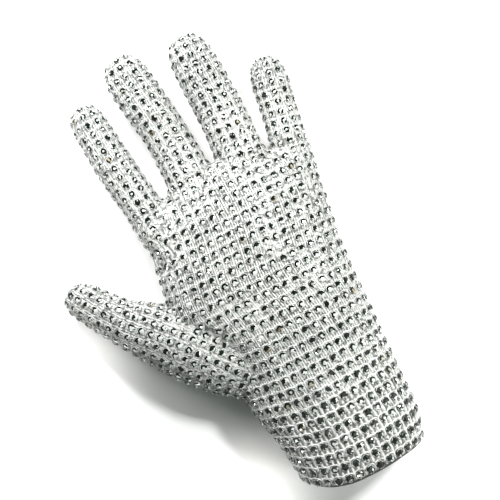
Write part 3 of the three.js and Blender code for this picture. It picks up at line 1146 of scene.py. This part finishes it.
@dataclass
class StonePattern:
    """One cut stone in its rim, modelled once and copied.

    Attributes:
        sides: Facets round the stone.
        girdle: Radius of its widest line.
        shoulder: Radius between its two rings of facets.
        table: Radius of its flat table.
        cup: Radius of the metal cup's foot on the knit.
        seat: Height of the widest line over the knit.
        shoulder_rise: Height between the two rings of facets.
        table_rise: Height of the table.
        rim_radius: Radius of the rim's middle.
        rim_thick: Radius of its section.
        rim_over_seat: How far it lies over the widest line.
    """

    sides: int = 10
    girdle: float = 1.62
    shoulder: float = 1.2
    table: float = 0.62
    cup: float = 1.3
    seat: float = 0.58
    shoulder_rise: float = 0.84
    table_rise: float = 1.08
    rim_radius: float = 1.66
    rim_thick: float = 0.12
    rim_over_seat: float = 0.1

    def make(self) -> None:
        """Models the stone and its rim and keeps their points and faces."""
        bpy.ops.object.select_all(action="DESELECT")
        bpy.ops.mesh.primitive_circle_add(vertices=self.sides, radius=self.cup, fill_type="NGON")
        stone = bpy.context.object
        bpy.ops.object.mode_set(mode="EDIT")
        for radius, before, rise in (
            (self.girdle, self.cup, self.seat),
            (self.shoulder, self.girdle, self.shoulder_rise - self.seat),
            (self.table, self.shoulder, self.table_rise - self.shoulder_rise),
        ):
            bpy.ops.mesh.extrude_region_move(TRANSFORM_OT_translate={"value": (0, 0, rise)})
            share = radius / before
            bpy.ops.transform.resize(value=(share, share, 1), center_override=(0, 0, 0))
        face_outwards()
        bpy.ops.object.select_all(action="DESELECT")
        bpy.ops.mesh.primitive_torus_add(
            major_segments=10, minor_segments=4, major_radius=self.rim_radius,
            minor_radius=self.rim_thick, location=(0, 0, self.seat + self.rim_over_seat))
        rim = bpy.context.object
        bpy.ops.object.transform_apply(location=True)
        self.points = np.array([v.co for v in [*stone.data.vertices, *rim.data.vertices]])
        shift = len(stone.data.vertices)
        # An extruded face's number can change from run to run, so the faces are put in order
        facets = sorted(stone.data.polygons, key=lambda f: tuple(np.round(f.center, 3)[::-1]))
        self.faces = [list(f.vertices) for f in facets]
        self.stone_faces = len(self.faces)
        leans = np.array([f.normal[:2] for f in facets])
        self.leans = leans / np.maximum(np.linalg.norm(leans, axis=1), 1e-3)[:, None]
        heights = [f.center.z for f in facets]
        self.table_face = heights.index(max(heights))
        self.metal = [height < self.seat for height in heights] + [True] * len(rim.data.polygons)
        self.faces += [[i + shift for i in f.vertices] for f in rim.data.polygons]
        for thing in (stone, rim):
            bpy.data.objects.remove(thing)


@dataclass(frozen=True)
class PaintedSparkle:
    """Which facets of the stones are painted dark, as reflections, in one part of the glove.

    Attributes:
        from_side: Facets are dark that face the dark side by more than this cosine.
        wander: How much that changes from stone to stone.
        turn: How far the dark side turns from stone to stone, in radians.
        tables: Share of the stones whose table is dark.
        opposite: Facets are dark, too, that face away from the dark side by more than this.
        mottle: How much lighter some of the dark facets are.
    """

    from_side: float
    wander: float
    turn: float
    tables: float
    opposite: float
    mottle: float


# Painted reflections and shade: the cuff's stones get the most facets painted dark, the fingers' the
# fewest.
PALM_PAINTED_SPARKLE = PaintedSparkle(-0.25, 0.22, 0.4, 0.33, 1.2, 0.02)
CUFF_PAINTED_SPARKLE = PaintedSparkle(-0.65, 0.18, 0.5, 0.8, 0.9, 0.12)
FINGER_PAINTED_SPARKLE = PaintedSparkle(0.15, 0.3, 0.9, 0.3, 0.6, 0.015)


@dataclass
class StoneField:
    """All the stones, laid in the rows of their tube.

    Attributes:
        form: The knit's face.
        pattern: The stone.
        materials: The stone's and the rim's finish.
        painted_dark_side: The side of the room that the facets painted dark as reflections face.
        amber_share: Share of amber stones.
        blank_share: Share of stones without painted dark facets, where they are little mottled.
        little_mottled: Mottling up to which there are such stones.
        palm_joins: Runs of the hand between which stones fill in between its rows.
        finger_joins: The same on the fingers and the thumb.
        shifts: Shares of a pitch by which the stones that fill in are set off.
        unevenness: How far stones stray from their rows, and how far they tilt.
        ragged: How uneven the line between the facets painted light and dark is.
        painted_grey_share: Share of the light facets that are painted grey, as dimmer reflections.
        painted_greys: How dark these are.
        ambers: How amber the amber stones are.
        thumb_side_painted_shade: How much darker, as painted shade, stones are that face the thumb's
            side, and from where.
        far_side_painted_shade: The same for those that face the other side.
        most_painted_side_shade: How far either goes.
    """

    form: SoftForm
    pattern: StonePattern
    materials: list[bpy.types.Material]
    painted_dark_side: float = math.radians(112)
    amber_share: float = 0.03
    blank_share: float = 0.01
    little_mottled: float = 0.05
    palm_joins: tuple[float, float] = (-60, 60)
    finger_joins: tuple[float, float] = (0, 50)
    shifts: tuple[float, ...] = (0, 1 / 3, 2 / 3)
    unevenness: tuple[float, float] = (0.1, 0.045)
    ragged: float = 0.15
    painted_grey_share: float = 0.12
    painted_greys: tuple[float, float] = (0.2, 0.7)
    ambers: tuple[float, float] = (0.4, 0.9)
    thumb_side_painted_shade: tuple[float, float] = (-1.1, -0.2)
    far_side_painted_shade: tuple[float, float] = (0.8, -0.3)
    most_painted_side_shade: float = 0.8

    def places(self) -> dict[str, list[tuple[np.ndarray, np.ndarray]]]:
        """Finds each stone's place and normal, first in the rows and then between parts.

        Returns:
            For each node's name, its stones.
        """
        self.rng = np.random.default_rng(SEED)
        self.found: dict[str, list[tuple[np.ndarray, np.ndarray]]] = {}
        self.grid: dict[tuple[int, int, int], list[np.ndarray]] = {}
        for tube in self.form.tubes:
            for run in tube.rows():
                self.lay_row(tube, run, tube.columns(run), NEAREST)
        for tube in self.form.tubes:
            near, far = self.palm_joins if isinstance(tube, PalmTube) else self.finger_joins
            for run in tube.rows():
                if not near < run < far:
                    continue
                angles = tube.columns(run)
                for up, aside in product(self.shifts, repeat=2):
                    shifted = angles[:-1] * (1 - aside) + angles[1:] * aside
                    self.lay_row(tube, run + up * tube.pitch, shifted, ROOMY)
        return self.found

    def lay_row(self, tube: Tube, run: float, angles: np.ndarray, room: float) -> None:
        """Lays one row of stones where they belong and have room.

        Args:
            tube: The tube that the row goes round.
            run: Where the row is.
            angles: Where its stones are.
            room: Distance that each keeps to the others.
        """
        if not len(angles):
            return
        run = min(run, tube.ends()[1])
        points = tube.point(np.full(len(angles), run), angles, STONE_RISE)
        if isinstance(tube, PalmTube):
            points = tube.bend(points, 1)
        places, normals, moves = self.form.settle(points)
        names = piece_names(places[:, 0], places[:, 1])
        owned = self.form.owners(places) == self.form.tubes.index(tube)
        if room == ROOMY:
            owned = (names == HAND) | (names == tube.name)
        stray, tilt = self.unevenness
        for index in np.flatnonzero(owned & (moves <= REACH)):
            place, name = places[index], names[index]
            if not self.free(place, room):
                continue
            place = place + self.rng.normal(0, stray, 3)
            place[2] = max(place[2], STONE_RISE)
            normal = normals[index] + self.rng.normal(0, tilt, 3)
            self.found.setdefault(name, []).append((place, normal))

    def free(self, place: np.ndarray, room: float) -> bool:
        """Says whether no stone is too near, and notes the place if so.

        Args:
            place: The new stone's place.
            room: Distance that it keeps to the others.

        Returns:
            Whether it has room.
        """
        cell = tuple(int(math.floor(value / ROOMY)) for value in place)
        for shift in product((-1, 0, 1), repeat=3):
            near = tuple(at + by for at, by in zip(cell, shift))
            for other in self.grid.get(near, ()):
                if np.linalg.norm(other - place) < room:
                    return False
        self.grid.setdefault(cell, []).append(place)
        return True

    def painted_sparkle_at(self, name: str, y: float, painted_side_shade: float) -> PaintedSparkle:
        """Which facets are painted dark, as reflections and shade, at a place on a piece.

        Args:
            name: The piece.
            y: The place along the glove.
            painted_side_shade: How far the knit faces sideways there, where stones get more painted
                shade.

        Returns:
            The painted sparkle there.
        """
        # More facets are painted dark towards the wrist and fewer towards the fingers.
        if name not in (HAND, "thumb"):
            low, high, share = PALM_PAINTED_SPARKLE, FINGER_PAINTED_SPARKLE, 1.0
        elif y < PALM_FROM:
            low, high, share = CUFF_PAINTED_SPARKLE, PALM_PAINTED_SPARKLE, np.interp(y, CUFF_TO_PALM, (0, 1))
        else:
            low, high, share = PALM_PAINTED_SPARKLE, FINGER_PAINTED_SPARKLE, np.interp(y, PALM_TO_FINGERS, (0, 1))
        painted_side_shade = np.clip(painted_side_shade, 0, self.most_painted_side_shade)
        values = []
        for start, end, aside in zip(astuple(low), astuple(high), astuple(CUFF_PAINTED_SPARKLE)):
            here = start * (1 - share) + end * share
            values.append(here * (1 - painted_side_shade) + aside * painted_side_shade)
        return PaintedSparkle(*values)

    def facets(self, basis: np.ndarray, sparkle: PaintedSparkle, rng: np.random.Generator) -> np.ndarray:
        """Painted reflections of one stone's faces: how dark each is painted.

        Args:
            basis: The stone's own axes.
            sparkle: How dark the stones are here.
            rng: The random numbers.

        Returns:
            A value for each face, 0 for the rim's.
        """
        count = self.pattern.stone_faces
        # Painted reflection: facets that face one side of the room are painted dark, and some that
        # face the other side.
        turn = self.painted_dark_side + rng.normal(0, sparkle.turn)
        leaning = self.pattern.leans @ basis[:2]
        facing = leaning[:, 0] * math.cos(turn) + leaning[:, 1] * math.sin(turn)
        edge = sparkle.from_side + rng.normal(0, sparkle.wander)
        dark = facing > edge + rng.normal(0, self.ragged, count)
        dark |= -facing > sparkle.opposite + rng.normal(0, self.ragged, count)
        dark[self.pattern.table_face] = rng.random() < sparkle.tables
        if rng.random() < self.blank_share and sparkle.mottle < self.little_mottled:
            dark[:] = False
        values = np.zeros(len(self.pattern.faces))
        values[:count] = dark * rng.uniform(1 - sparkle.mottle, 1.0, count)
        # Some light facets are painted grey, as dimmer reflections.
        grey = ~dark * (rng.random(count) < self.painted_grey_share)
        values[:count] += grey * rng.uniform(*self.painted_greys, count)
        return values

    def make(self) -> None:
        """Copies the stone to every place, one joined mesh for each piece of the glove."""
        rng = np.random.default_rng(SEED + 1)
        total = 0
        count = len(self.pattern.points)
        for name, stones in self.places().items():
            total += len(stones)
            points, faces, painted_reflection, tint = [], [], [], []
            for number, (place, normal) in enumerate(stones):
                up = unit(normal)
                side = unit(np.cross((0.3, 1.0, 0.1), up))
                turn = rng.uniform(0, 2 * math.pi)
                first = side * math.cos(turn) + np.cross(up, side) * math.sin(turn)
                basis = np.stack([first, np.cross(up, first), up])
                size = np.interp(place[1], [-100, -30, 60], STONE_SIZES)
                points.append(size * self.pattern.points @ basis + place)
                faces += [[i + number * count for i in face] for face in self.pattern.faces]
                # Painted shade: stones on knit that faces sideways get more facets painted dark.
                painted_side_shade = max(rate * up[0] + start for rate, start in (self.thumb_side_painted_shade, self.far_side_painted_shade))
                sparkle = self.painted_sparkle_at(name, place[1], painted_side_shade)
                painted_reflection.append(self.facets(basis, sparkle, rng))
                amber = rng.random() < self.amber_share
                tint.append(np.full(len(self.pattern.faces), rng.uniform(*self.ambers) * amber))
            piece = new_piece(f"{name}_stones", np.concatenate(points), faces, self.materials)
            mesh = piece.data
            metal = np.tile(self.pattern.metal, len(stones))
            mesh.polygons.foreach_set("material_index", metal.astype(np.int32))
            mesh.polygons.foreach_set("use_smooth", metal)
            for label, values in (("painted_reflection", painted_reflection), ("tint", tint)):
                layer = mesh.attributes.new(label, "FLOAT", "FACE")
                layer.data.foreach_set("value", np.concatenate(values).astype(np.float32))
            declare(piece, Slot.STONES)
        log.info("%d stones", total)


@dataclass
class Yarns:
    """Round yarns that lie on the knit.

    Attributes:
        form: The knit's face.
        material: The yarns' finish.
        suffix: What the pieces are called after their part of the glove.
        sides: Faces round a yarn.
        lift: Height of a yarn's middle over the knit.
        cuff_radius: Radius of the yarns at the wrist.
        palm_radius: Their radius at the knuckles.
        finger_radius: Their radius on the fingers.
        flatness: How many times wider than high it is.
    """

    form: SoftForm
    material: bpy.types.Material
    suffix: str
    sides: int
    lift: float
    cuff_radius: float
    palm_radius: float
    finger_radius: float
    flatness: float = 1.0

    def thickness(self, tube: Tube, points: np.ndarray) -> np.ndarray:
        """Radius of a yarn at its points: thick at the wrist, finer towards the fingertips."""
        if tube.name != "palm":
            return np.full(len(points), self.finger_radius)
        return np.interp(points[:, 1], FINER, [self.cuff_radius, self.palm_radius])

    def lay(self, strands: dict, tube: Tube, points: np.ndarray) -> None:
        """Lays one yarn on the knit and breaks it where it leaves its part.

        Args:
            strands: The yarns of each piece, which it adds to.
            tube: The tube that the yarn follows.
            points: The yarn's course.
        """
        if len(points) < SHORTEST:
            return
        radius = self.thickness(tube, points)
        places, normals, moves = self.form.settle(points)
        names = piece_names(places[:, 0], places[:, 1])
        good = (moves <= REACH) & (self.form.owners(places) == self.form.tubes.index(tube))
        start = 0
        for index in range(1, len(places) + 1):
            if index < len(places) and names[index] == names[start] and good[index] == good[start]:
                continue
            if good[start] and index - start >= SHORTEST:
                path = places[start:index] + normals[start:index] * self.lift
                strand = (path, normals[start:index], radius[start:index, None])
                strands.setdefault(names[start], []).append(strand)
            start = index

    def join(self, name: str, paths: list[tuple[np.ndarray, ...]]) -> None:
        """Makes one mesh of a piece's yarns.

        Args:
            name: The piece of the glove.
            paths: For each yarn its points, the knit's normals there and its radii.
        """
        points, faces = [], []
        base = 0
        for path, normals, radius in paths:
            along = unit(np.gradient(path, axis=0))
            side = unit(np.cross(along, normals))
            up = np.cross(side, along)
            spots, rings = sweep(path, side * radius * self.flatness, up * radius, self.sides, False)
            points.append(spots)
            faces += [[number + base for number in face] for face in rings]
            base += len(spots)
        piece = new_piece(f"{name}_{self.suffix}", np.concatenate(points), faces, [self.material])
        shade_smooth(piece)
        declare(piece, Slot.KNIT)


@dataclass
class RowThreads(Yarns):
    """Bright threads that run along each row and arch over its stones."""

    suffix: str = "threads"
    sides: int = 6
    lift: float = 0.2
    cuff_radius: float = 0.38
    palm_radius: float = 0.2
    finger_radius: float = 0.12
    steps: int = 6  # rings from one stone to the next
    over: float = 2.5  # how far the thread passes from a stone's middle
    between: float = 1.5  # and how far it dips back between two stones
    arching: float = 0.7  # lower values make the arches broader
    end_room: float = 0.5  # how far it stays from a tube's end

    def make(self) -> None:
        """Lays a thread along every row of the hand, the fingers and the thumb."""
        strands: dict[str, list[tuple[np.ndarray, ...]]] = {}
        for tube in self.form.tubes:
            hand = isinstance(tube, PalmTube)
            for run in tube.rows():
                angles, lengths = tube.arc_table(run)
                pitch = tube.pitch_at(run)
                left = math.floor(-lengths[0] / pitch * self.steps)
                right = math.floor(lengths[-1] / pitch * self.steps)
                marks = np.arange(-left, right + 1) / self.steps
                turns = np.interp(marks * pitch, lengths, angles)
                arch = np.abs(np.cos(marks * math.pi)) ** self.arching
                runs = run + self.between + (self.over - self.between) * arch
                _, last = tube.ends()
                points = tube.point(np.minimum(runs, last - self.end_room), turns, STONE_RISE)
                if hand:
                    points = tube.bend(points, 1)
                self.lay(strands, tube, points)
        for name, paths in strands.items():
            self.join(name, paths)


@dataclass
class Ribs(Yarns):
    """The knit's raised ribs, which run between and under the columns of stones."""

    suffix: str = "ribs"
    sides: int = 5
    lift: float = -0.05
    cuff_radius: float = 0.5
    palm_radius: float = 0.27
    finger_radius: float = 0.21
    flatness: float = 1.4
    step: float = 2.1
    finger_step: float = 1.3
    bow: float = 0.55  # how far a finger's rib bends out round each stone
    middle_bow: float = 0.6  # share of that for a rib midway between two columns
    to_a_stone: int = 4  # ribs from one column to the next
    end_room: float = 2.0  # how far ribs stay from a tube's ends
    hem_room: float = 0.6  # and from the wrist edge

    def make(self) -> None:
        """Lays ribs along the columns of stones and between them."""
        strands: dict[str, list[tuple[np.ndarray, ...]]] = {}
        for tube in self.form.tubes:
            hand = isinstance(tube, PalmTube)
            first, last = tube.ends()
            step = self.step if hand else self.finger_step
            runs = np.arange(first + self.end_room, last - self.end_room, step)
            rows = tube.rows()
            bows = np.cos(2 * math.pi * np.interp(runs, rows, np.arange(len(rows))))
            bows *= 0.0 if hand else self.bow
            tables = [tube.arc_table(run) for run in runs]
            pitches = [tube.pitch_at(run) for run in runs]
            widest = max(lengths[-1] for _, lengths in tables)
            most = math.ceil(self.to_a_stone * (widest / pitches[0]))
            marks = np.arange(-most, most + 1) / self.to_a_stone
            for mark in marks:
                start = FINER[0] if hand and (2 * mark) % 1 else -math.inf
                inside = [index for index, (angles, lengths) in enumerate(tables)
                          if lengths[0] < mark * pitches[index] < lengths[-1]
                          and runs[index] > start]
                if len(inside) < SHORTEST:
                    continue
                side = np.sign(mark - round(mark))
                side *= self.middle_bow if (2 * mark) % 1 == 0 else 1.0
                arcs = [mark * pitches[i] + side * bows[i] for i in inside]
                turns = [np.interp(arc, tables[i][1], tables[i][0]) for arc, i in zip(arcs, inside)]
                points = tube.point(runs[inside], np.array(turns), STONE_RISE)
                if hand:
                    points = tube.bend(points, 1)
                    hem = HEM_MIDDLE + hem_at(points[:, 0])
                    points = points[points[:, 1] > hem + self.hem_room]
                self.lay(strands, tube, points)
        for name, paths in strands.items():
            self.join(name, paths)


@dataclass
class CuffEdge:
    """The bound edge round the wrist opening; its near-black colour is painted shade for the
    shadowed edge.
    """

    palm: PalmTube
    material: bpy.types.Material
    steps: int = 150
    sides: int = 10
    width: float = 0.8
    thick: float = 0.95
    tuck: float = 0.35  # how far its middle lies inside the wrist edge

    def make(self) -> None:
        """Sweeps a flattened roll round the wrist edge."""
        turns = np.arange(self.steps) / self.steps * 2 * math.pi
        run = np.full(self.steps, HEM_MIDDLE + self.tuck)
        inset = STONE_RISE + KNIT_WALL / 4
        path = self.palm.bend(self.palm.point(run, turns, inset), 1)
        along = unit(np.roll(path, -1, axis=0) - np.roll(path, 1, axis=0))
        down = np.array([0.0, 1.0, 0.0])
        out = unit(np.cross(down, along))
        high = np.tile(down * self.width, (self.steps, 1))
        points, faces = sweep(path, out * self.thick, high, self.sides, True)
        piece = new_piece("cuff_binding", points, faces, [self.material])
        select_only(piece)
        bpy.ops.object.mode_set(mode="EDIT")
        face_outwards()
        shade_smooth(piece)
        declare(piece, Slot.EDGE, "cuff_edge")


@dataclass(frozen=True)
class Shade:
    """A part of the room round the glove that is brighter or darker.

    Attributes:
        way: Where it lies, seen from the glove.
        starts: Nearness to that direction where it starts, as a cosine.
        full: Nearness where it is complete.
        colour: Its colour.
    """

    way: tuple[float, float, float]
    starts: float
    full: float
    colour: tuple[float, float, float]


@dataclass(frozen=True)
class SoftLight:
    """A round soft light.

    Attributes:
        place: Where it hangs.
        aim: What it points at.
        size: Its width.
        power: Its strength.
        mirrored: Whether the stones mirror it.
        soft: Whether it lights rough things too.
    """

    place: tuple[float, float, float]
    aim: tuple[float, float, float]
    size: float
    power: float
    mirrored: bool = True
    soft: bool = True

    def make(self, name: str) -> None:
        """Hangs the light."""
        light = bpy.data.lights.new(name, "AREA")
        light.shape = "DISK"
        light.size = self.size
        light.energy = self.power
        lamp = bpy.data.objects.new(name, light)
        lamp.location = self.place
        way = Vector(self.aim) - Vector(self.place)
        lamp.rotation_euler = way.to_track_quat("-Z", "Y").to_euler()
        lamp.visible_camera = False
        lamp.visible_glossy = self.mirrored
        lamp.visible_diffuse = self.soft
        bpy.context.scene.collection.objects.link(lamp)


@dataclass(frozen=True)
class DownLight:
    """A small lamp that shines straight down on a round patch.

    Attributes:
        place: Where it hangs.
        width: Angle of its beam, in degrees.
        power: Its strength.
        colour: Its colour.
    """

    place: tuple[float, float, float]
    width: float
    power: float
    colour: tuple[float, float, float] = (1.0, 0.985, 0.955)

    def make(self, name: str) -> None:
        """Hangs the lamp."""
        light = bpy.data.lights.new(name, "SPOT")
        light.energy = self.power
        light.spot_size = math.radians(self.width)
        light.spot_blend = 1.0
        light.color = self.colour
        light.shadow_soft_size = 0.02
        lamp = bpy.data.objects.new(name, light)
        lamp.location = self.place
        lamp.visible_glossy = False
        bpy.context.scene.collection.objects.link(lamp)


@dataclass
class Studio:
    """A plain pale floor, the lights, and the camera over the glove.

    Attributes:
        distance: Height of the camera over the floor.
        frame_width: What the picture's width covers on the floor.
        roll: How far the camera is turned, in degrees.
        room: Brightness of the surroundings.
        colour: Their colour where nothing shades them.
        shades: Parts of them that are brighter or darker.
        lights: The lamps.
    """

    distance: float = 0.6
    frame_width: float = 0.2638
    roll: float = -27.0
    room: float = 0.8
    colour: tuple[float, float, float] = (0.43, 0.495, 0.41)
    shades: dict[str, Shade] = field(default_factory=lambda: {
        "dim_over_wrist": Shade((0.0, -0.36, 0.93), 0.90, 0.965, (0.22, 0.25, 0.23)),
        "softbox_over_fingers": Shade((0.06, 0.33, 0.94), 0.88, 0.93, (1.5, 1.5, 1.5)),
        "dark_lower_left": Shade((-0.90, -0.32, 0.26), -0.05, 0.60, (0.030, 0.050, 0.033)),
        "dark_past_fingertips": Shade((-0.30, 0.90, 0.30), 0.30, 0.55, (0.010, 0.012, 0.010)),
    })
    lights: dict[str, SoftLight | DownLight] = field(default_factory=lambda: {
        "key": SoftLight((0.505, 0.145, 0.64), (0.02, -0.04, 0.02), 0.12, 6.9),
        "fingertip_fill": SoftLight((-0.02, 0.32, 0.17), (-0.02, 0.08, 0), 0.15, 1.3, False),
        "thumb_side_fill": SoftLight((-0.16, 0.22, 0.13), (-0.05, 0.05, 0), 0.12, 0.55, False),
        "wrist_fill": SoftLight((0.20, -0.30, 0.12), (0.03, -0.12, 0), 0.12, 0.5, False),
        "left_glints": SoftLight((-0.50, -0.28, 0.30), (0, -0.08, 0), 0.14, 0.8, soft=False),
        "past_the_wrist": DownLight((-0.047, -0.117, 0.5), 8.6, 15.0),
        "past_the_thumb": DownLight((-0.090, -0.008, 0.5), 7.5, 9.0),
        "over_the_palm": DownLight((0.018, 0.01, 0.85), 11, 10.5),
        "over_the_fingers": DownLight((-0.005, 0.085, 0.85), 10, 10.0),
        "over_the_wrist": DownLight((0.026, -0.095, 0.7), 7.5, 8.0),
        "between_the_fingers": DownLight((0.0575, 0.060, 0.5), 5.5, 12.0),
    })

    def floor(self) -> None:
        """Lays the floor."""
        bpy.ops.object.select_all(action="DESELECT")
        bpy.ops.mesh.primitive_plane_add(size=6)
        floor = bpy.context.object
        floor.name = "studio_floor"
        material, _ = Finish("pale_floor", (0.9, 0.9, 0.9), 0.9).start()
        floor.data.materials.append(material)
        floor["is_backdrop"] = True

    def surroundings(self) -> None:
        """Lights the room around: pale all round but for its shades."""
        world = bpy.data.worlds.new("studio")
        bpy.context.scene.world = world
        world.use_nodes = True
        graph = Graph(world.node_tree)
        background = world.node_tree.nodes["Background"]
        way = graph.node("ShaderNodeTexCoord").outputs["Generated"]
        colour = self.colour
        for name, shade in self.shades.items():
            toward = graph.node("ShaderNodeVectorMath", {0: way, 1: shade.way},
                                operation="DOT_PRODUCT", label=name).outputs["Value"]
            share = graph.spread(toward, shade.starts, shade.full)
            colour = graph.mix(share, colour, shade.colour)
        graph.link(colour, background.inputs["Color"])
        background.inputs["Strength"].default_value = self.room

    def camera(self) -> None:
        """Places the camera straight above the picture's middle."""
        data = bpy.data.cameras.new("camera")
        data.sensor_width = 36
        data.lens = 36 * self.distance / self.frame_width
        camera = bpy.data.objects.new("camera", data)
        camera.location = (-ORIGIN[0] * MM, -ORIGIN[1] * MM, self.distance)
        camera.rotation_euler = (0, 0, math.radians(self.roll))
        bpy.context.scene.collection.objects.link(camera)
        bpy.context.scene.camera = camera

    def make(self) -> None:
        """Sets up the whole studio."""
        self.floor()
        self.surroundings()
        for name, light in self.lights.items():
            light.make(name)
        self.camera()
        view = bpy.context.scene.view_settings
        view.view_transform = "Standard"
        view.look = "None"


def main() -> None:
    """Builds the glove's pieces in order and dresses them."""
    logging.basicConfig(level=logging.INFO, format="%(name)s %(message)s")
    studio = Studio()
    studio.make()
    palm = PalmTube("palm")
    form = SoftForm([palm, *(FingerTube(name) for name in FINGERS)])
    form.make()
    log.info("soft form: %d faces", len(form.object.data.polygons))
    fibres = fibre_group()
    ribs = rib_group()
    knit = KnitFinish("silver_knit", (0.59, 0.60, 0.58), 0.6).make(fibres, ribs)
    thread = YarnFinish("bright_thread", (0.80, 0.81, 0.79), 0.45, fleck=0.45).make(fibres)
    rib = YarnFinish("rib_yarn", (0.66, 0.67, 0.65), 0.55, fleck=0.85).make(fibres)
    # Near-black: painted shade for the shadowed wrist edge.
    edge = YarnFinish("edge_yarn", (0.055, 0.054, 0.048), 0.7).make(fibres)
    stone = StoneFinish("cut_stone", (0.90, 0.94, 0.91), 0.08, 0.5).make()
    setting = RimFinish("silver_setting", (0.80, 0.82, 0.80), 0.25, 0.6).make()
    pattern = StonePattern()
    pattern.make()
    StoneField(form, pattern, [stone, setting]).make()
    RowThreads(form, thread).make()
    Ribs(form, rib).make()
    KnitPieces(form, knit).make()
    CuffEdge(palm, edge).make()


if __name__ == "__main__":
    main()
    boxes = {"cad": cad_bounds, "visual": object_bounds()}
    {key: [list(corner) for corner in box] for key, box in boxes.items()}
